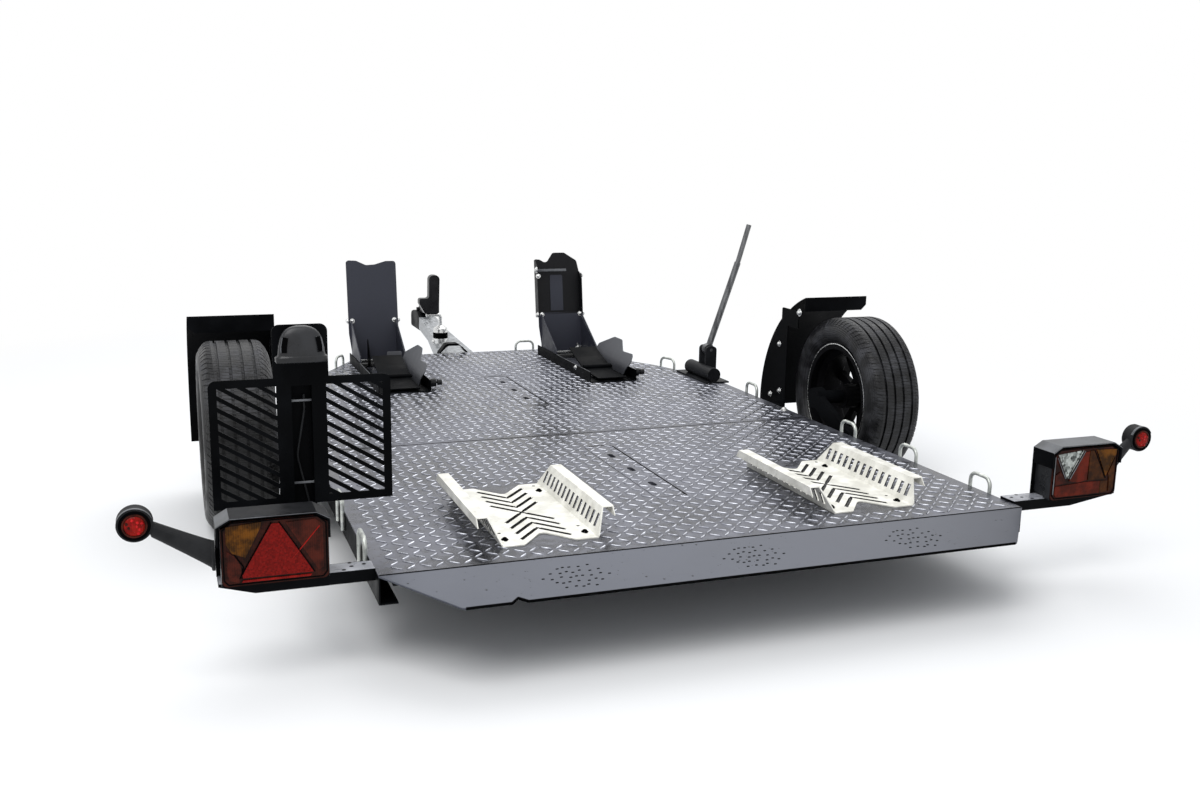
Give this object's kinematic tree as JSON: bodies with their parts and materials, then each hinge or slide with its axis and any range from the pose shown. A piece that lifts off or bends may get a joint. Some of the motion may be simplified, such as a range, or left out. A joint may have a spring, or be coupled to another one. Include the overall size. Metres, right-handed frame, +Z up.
{
  "type": "motorcycle trailer",
  "caption": "Low flat trailer for motorcycles with a tread-plate deck, front wheel chocks, rear wheel cradles, a kneeling swing axle, a hand pump, drawbar and jockey wheel.",
  "frame": {"origin": "middle of the bounding box at ground level, with the deck at its driving height", "axes": "+Y forward to the coupling, +Z up, +X to the right-hand side of the trailer"},
  "size_m": [2.5772, 3.5436, 0.7902],
  "materials": {
    "tread_plate": "satin raised tread pattern, wet",
    "lip_plate": "smooth satin, wet",
    "black_steel": "satin powder coat",
    "bright_steel": "bright zinc plated",
    "zinc_steel": "dull galvanised",
    "chock_plate": "satin powder coat",
    "rim_paint": "gloss",
    "tyre_rubber": "wet rubber",
    "jockey_rubber": "solid rubber",
    "red_lens": "moulded lamp lens",
    "clear_lens": "marker lens",
    "lamp_shell": "moulded housing",
    "arm_rubber": "flexible rubber",
    "black_grip": "moulded grip"
  },
  "bodies": {
    "deck": {"deck_rear": "tread_plate", "deck_front": "tread_plate", "hatch_covers": "tread_plate", "loading_lip": "lip_plate", "side_rails": "black_steel", "crossmembers": "black_steel", "axle_tube": "black_steel", "fender_right": "black_steel", "fender_left": "black_steel", "fender_bracket_right": "black_steel", "fender_bracket_left": "black_steel", "lamp_hood_right": "black_steel", "lamp_hood_left": "black_steel", "number_plate_holder": "black_steel", "chock_base_left": "black_steel", "chock_base_right": "black_steel", "drawbar_bracket": "black_steel", "coupling_head": "black_steel", "pump_body": "black_steel", "jockey_fork": "bright_steel", "jockey_tube": "bright_steel", "jockey_collar": "bright_steel", "wheel_cradle_left": "zinc_steel", "wheel_cradle_right": "zinc_steel", "drawbar": "zinc_steel", "tie_down_loops": "zinc_steel", "chock_upright_left": "chock_plate", "chock_upright_right": "chock_plate", "chock_wings_left": "chock_plate", "chock_wings_right": "chock_plate", "jockey_wheel": "jockey_rubber", "tail_lamp_lenses": "red_lens", "marker_lenses": "clear_lens", "tail_lamps": "lamp_shell", "plate_lamp": "lamp_shell", "marker_arms": "arm_rubber", "plate_cable": "arm_rubber", "chock_knobs": "black_grip"},
    "swing_axle": {"pivot_shaft": "bright_steel", "swing_arm_right": "black_steel", "swing_arm_left": "black_steel"},
    "wheel_right": {"rim_right": "rim_paint", "tyre_right": "tyre_rubber"},
    "wheel_left": {"rim_left": "rim_paint", "tyre_left": "tyre_rubber"},
    "rocker_right": {"chock_rocker_right": "black_steel"},
    "rocker_left": {"chock_rocker_left": "black_steel"},
    "pump_lever": {"pump_lever": "bright_steel"},
    "coupling_handle": {"coupling_handle": "black_grip"},
    "jockey_crank": {"jockey_crank": "bright_steel", "jockey_grip": "black_grip"}
  },
  "joints": [
    {"name": "swing_axle", "type": "hinge", "parent": "deck", "child": "swing_axle", "pos_m": [0, -0.7482, 0.164], "axis": [1, 0, 0], "range_deg": [0, 48]},
    {"name": "wheel_right_spin", "type": "hinge", "parent": "swing_axle", "child": "wheel_right", "pos_m": [0.995, -0.5282, 0.2625], "axis": [1, 0, 0], "continuous": true},
    {"name": "wheel_left_spin", "type": "hinge", "parent": "swing_axle", "child": "wheel_left", "pos_m": [-0.995, -0.5282, 0.2625], "axis": [1, 0, 0], "continuous": true},
    {"name": "rocker_right_tip", "type": "hinge", "parent": "deck", "child": "rocker_right", "pos_m": [0.402, 0.3618, 0.234], "axis": [1, 0, 0], "range_deg": [-18, 0]},
    {"name": "rocker_left_tip", "type": "hinge", "parent": "deck", "child": "rocker_left", "pos_m": [-0.382, 0.3618, 0.234], "axis": [1, 0, 0], "range_deg": [-18, 0]},
    {"name": "pump_stroke", "type": "hinge", "parent": "deck", "child": "pump_lever", "pos_m": [0.776, 0.1568, 0.32], "axis": [0, 1, 0], "range_deg": [-40, 15]},
    {"name": "coupling_release", "type": "hinge", "parent": "deck", "child": "coupling_handle", "pos_m": [0, 1.6798, 0.3003], "axis": [-1, 0, 0], "range_deg": [0, 50]},
    {"name": "jockey_turn", "type": "hinge", "parent": "deck", "child": "jockey_crank", "pos_m": [-0.03, 1.1708, 0.28], "axis": [0, 0, 1], "continuous": true}
  ]
}
